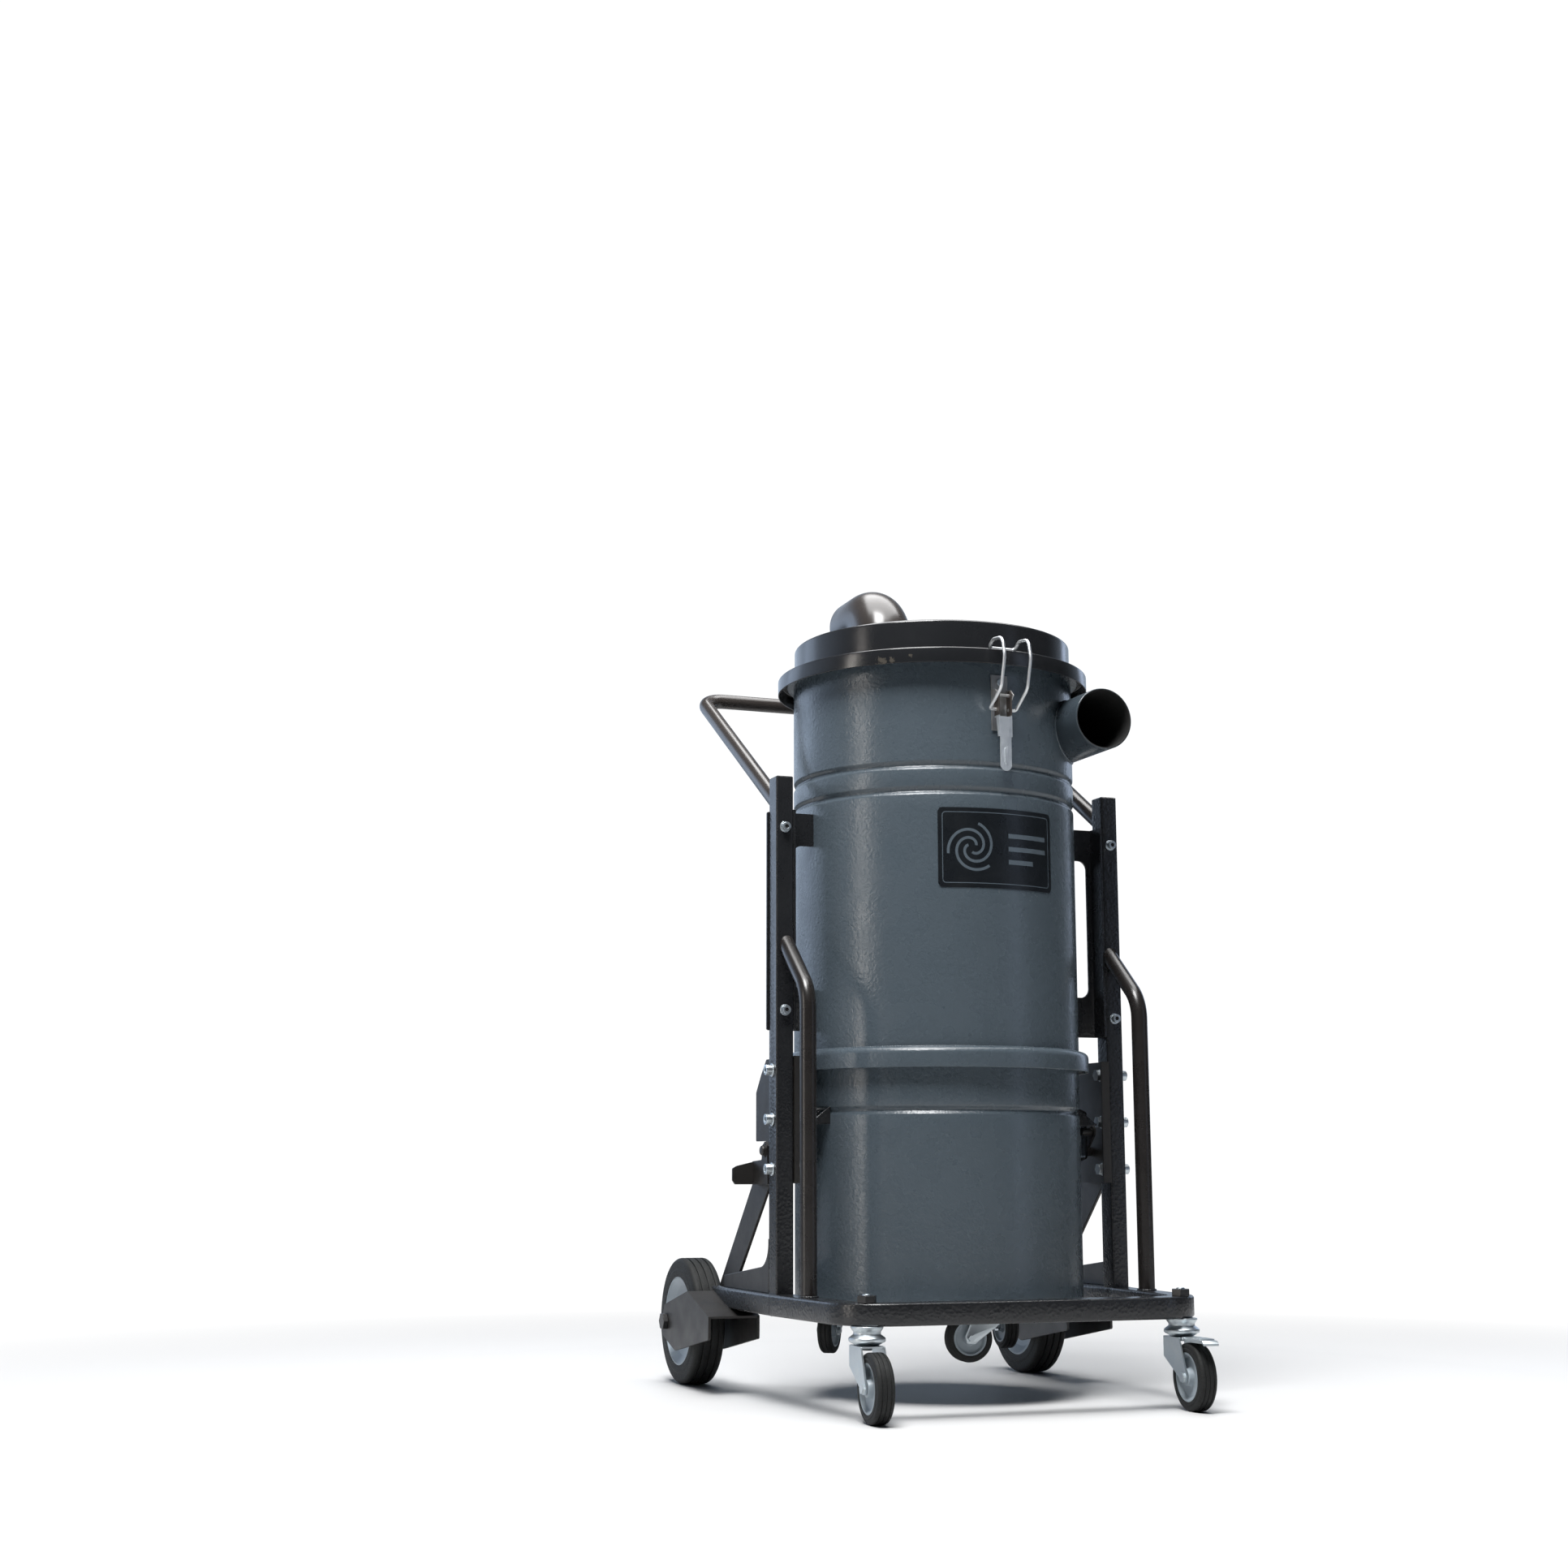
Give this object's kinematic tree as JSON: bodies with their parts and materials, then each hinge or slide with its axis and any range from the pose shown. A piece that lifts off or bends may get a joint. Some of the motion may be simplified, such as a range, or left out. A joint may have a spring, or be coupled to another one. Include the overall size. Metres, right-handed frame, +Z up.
{
  "type": "dust collector",
  "caption": "Wheeled dust collector: a separator drum with a tangential inlet and a latched lid stands over a drop-down bin on a tube trolley.",
  "frame": {"origin": "on the floor under the axis of the drum, at the middle of the footprint", "axes": "+X across the trolley to the inlet side, +Y towards the push handle, +Z up"},
  "size_m": [0.716, 0.802, 1.2924],
  "materials": {
    "slate_coat": "gloss orange-peel powder coat",
    "lid_coat": "gloss black powder coat",
    "frame_coat": "black hammer-texture powder coat",
    "tube_coat": "satin dark powder coat",
    "inner_steel": "plain sheet steel",
    "filter_media": "pleated felt",
    "label": "satin dark film",
    "gasket": "matt",
    "bright_zinc": "bright zinc plating",
    "latch_steel": "stamped bright steel",
    "black_nut": "blackened steel",
    "rim_grey": "light grey-blue enamel",
    "tyre_rubber": "solid rubber"
  },
  "bodies": {
    "trolley": {"base_frame": "frame_coat", "blank_name_plate": "label", "braces": "frame_coat", "cyclone_cone": "inner_steel", "drum_bracket_bolts": "bright_zinc", "drum_collar": "slate_coat", "filter_cartridge": "filter_media", "filter_end_cap": "inner_steel", "filter_tube_sheet": "inner_steel", "front_caster_heads": "bright_zinc", "front_caster_nuts": "black_nut", "front_latch_base": "latch_steel", "gussets": "frame_coat", "inlet_tube": "tube_coat", "latch_screws": "bright_zinc", "left_drum_bracket": "frame_coat", "left_guard_rod": "tube_coat", "left_side_plate": "frame_coat", "left_upright": "frame_coat", "left_wheel_bracket": "frame_coat", "lid": "lid_coat", "lid_gasket": "gasket", "outlet_elbow": "tube_coat", "push_handle": "tube_coat", "rear_axles": "black_nut", "rear_latch_base": "latch_steel", "right_drum_bracket": "frame_coat", "right_guard_rod": "tube_coat", "right_side_plate": "frame_coat", "right_upright": "frame_coat", "right_wheel_bracket": "frame_coat", "separator_drum": "slate_coat", "side_plate_bolts": "bright_zinc", "side_plate_nuts": "bright_zinc"},
    "bin": {"collection_bin": "slate_coat", "bin_gasket": "gasket", "bin_side_handles": "frame_coat", "bin_lift_lugs": "frame_coat", "bin_caster_heads": "bright_zinc"},
    "left_rear_wheel": {"left_rear_rim": "rim_grey", "left_rear_tyre": "tyre_rubber"},
    "right_rear_wheel": {"right_rear_rim": "rim_grey", "right_rear_tyre": "tyre_rubber"},
    "left_lever": {"left_lift_lever": "frame_coat"},
    "right_lever": {"right_lift_lever": "frame_coat"},
    "front_handle": {"front_latch_handle": "latch_steel"},
    "rear_handle": {"rear_latch_handle": "latch_steel"},
    "front_bail": {"front_latch_bail": "latch_steel"},
    "rear_bail": {"rear_latch_bail": "latch_steel"},
    "left_front_fork": {"left_front_caster_fork": "bright_zinc"},
    "right_front_fork": {"right_front_caster_fork": "bright_zinc"},
    "left_front_wheel": {"left_front_caster_wheel": "tyre_rubber"},
    "right_front_wheel": {"right_front_caster_wheel": "tyre_rubber"},
    "pedal": {"brake_pedal": "bright_zinc"},
    "front_bin_fork": {"front_bin_caster_fork": "bright_zinc"},
    "front_bin_wheel": {"front_bin_caster_wheel": "tyre_rubber"},
    "left_bin_fork": {"left_bin_caster_fork": "bright_zinc"},
    "left_bin_wheel": {"left_bin_caster_wheel": "tyre_rubber"},
    "right_bin_fork": {"right_bin_caster_fork": "bright_zinc"},
    "right_bin_wheel": {"right_bin_caster_wheel": "tyre_rubber"}
  },
  "joints": [
    {"name": "left_rear_wheel_spin", "type": "hinge", "parent": "trolley", "child": "left_rear_wheel", "pos_m": [-0.305, 0.301, 0.1], "axis": [1, 0, 0], "continuous": true},
    {"name": "left_front_caster_swivel", "type": "hinge", "parent": "trolley", "child": "left_front_fork", "pos_m": [-0.249, -0.309, 0.11], "axis": [0, 0, 1], "continuous": true},
    {"name": "left_front_caster_spin", "type": "hinge", "parent": "left_front_fork", "child": "left_front_wheel", "pos_m": [-0.25158, -0.34591, 0.048], "axis": [0.9976, -0.0698, 0], "continuous": true},
    {"name": "right_rear_wheel_spin", "type": "hinge", "parent": "trolley", "child": "right_rear_wheel", "pos_m": [0.305, 0.301, 0.1], "axis": [1, 0, 0], "continuous": true},
    {"name": "right_front_caster_swivel", "type": "hinge", "parent": "trolley", "child": "right_front_fork", "pos_m": [0.249, -0.309, 0.11], "axis": [0, 0, 1], "continuous": true},
    {"name": "right_front_caster_spin", "type": "hinge", "parent": "right_front_fork", "child": "right_front_wheel", "pos_m": [0.24642, -0.34591, 0.048], "axis": [0.9976, -0.0698, 0], "continuous": true},
    {"name": "brake_pedal_press", "type": "hinge", "parent": "right_front_fork", "child": "pedal", "pos_m": [0.24684, -0.33992, 0.101], "axis": [0.9976, -0.0698, 0], "range_deg": [0, 6], "stiffness_Nm_per_rad": 1.5},
    {"name": "bin_drop", "type": "slide", "parent": "trolley", "child": "bin", "axis": [0, 0, -1], "range_m": [0, 0.0615]},
    {"name": "left_lift_lever_turn", "type": "hinge", "parent": "trolley", "child": "left_lever", "pos_m": [-0.292, -0.015, 0.371], "axis": [1, 0, 0], "range_deg": [0, 80.2]},
    {"name": "right_lift_lever_turn", "type": "hinge", "parent": "trolley", "child": "right_lever", "pos_m": [0.292, -0.015, 0.371], "axis": [1, 0, 0], "range_deg": [0, 80.2]},
    {"name": "front_bin_caster_swivel", "type": "hinge", "parent": "bin", "child": "front_bin_fork", "pos_m": [0, -0.165, 0.137], "axis": [0, 0, 1], "continuous": true},
    {"name": "front_bin_caster_spin", "type": "hinge", "parent": "front_bin_fork", "child": "front_bin_wheel", "pos_m": [-0.02575, -0.16138, 0.097], "axis": [-0.1392, -0.9903, 0], "continuous": true},
    {"name": "right_bin_caster_swivel", "type": "hinge", "parent": "bin", "child": "right_bin_fork", "pos_m": [0.14289, 0.0825, 0.137], "axis": [0, 0, 1], "continuous": true},
    {"name": "right_bin_caster_spin", "type": "hinge", "parent": "right_bin_fork", "child": "right_bin_wheel", "pos_m": [0.14153, 0.05654, 0.097], "axis": [0.9986, -0.0523, 0], "continuous": true},
    {"name": "left_bin_caster_swivel", "type": "hinge", "parent": "bin", "child": "left_bin_fork", "pos_m": [-0.14289, 0.0825, 0.137], "axis": [0, 0, 1], "continuous": true},
    {"name": "left_bin_caster_spin", "type": "hinge", "parent": "left_bin_fork", "child": "left_bin_wheel", "pos_m": [-0.1589, 0.06201, 0.097], "axis": [0.788, -0.6157, 0], "continuous": true},
    {"name": "front_latch_handle_lift", "type": "hinge", "parent": "trolley", "child": "front_handle", "pos_m": [0.01256, -0.23967, 1.057], "axis": [-0.9986, -0.0523, 0], "range_deg": [0, 120]},
    {"name": "front_latch_bail_swing", "type": "hinge", "parent": "front_handle", "child": "front_bail", "pos_m": [0.01235, -0.23568, 1.035], "axis": [-0.9986, -0.0523, 0], "range_deg": [-138.5, 0]},
    {"name": "rear_latch_handle_lift", "type": "hinge", "parent": "trolley", "child": "rear_handle", "pos_m": [-0.01256, 0.23967, 1.057], "axis": [0.9986, 0.0523, 0], "range_deg": [0, 120]},
    {"name": "rear_latch_bail_swing", "type": "hinge", "parent": "rear_handle", "child": "rear_bail", "pos_m": [-0.01235, 0.23568, 1.035], "axis": [0.9986, 0.0523, 0], "range_deg": [-138.5, 0]}
  ],
  "couplings": [
    {"joint": "left_lift_lever_turn", "follows": "bin_drop", "rad_per_m": 22.703},
    {"joint": "right_lift_lever_turn", "follows": "bin_drop", "rad_per_m": 22.703},
    {"joint": "front_latch_bail_swing", "follows": "front_latch_handle_lift", "ratio": -1.15},
    {"joint": "rear_latch_bail_swing", "follows": "rear_latch_handle_lift", "ratio": -1.15}
  ]
}
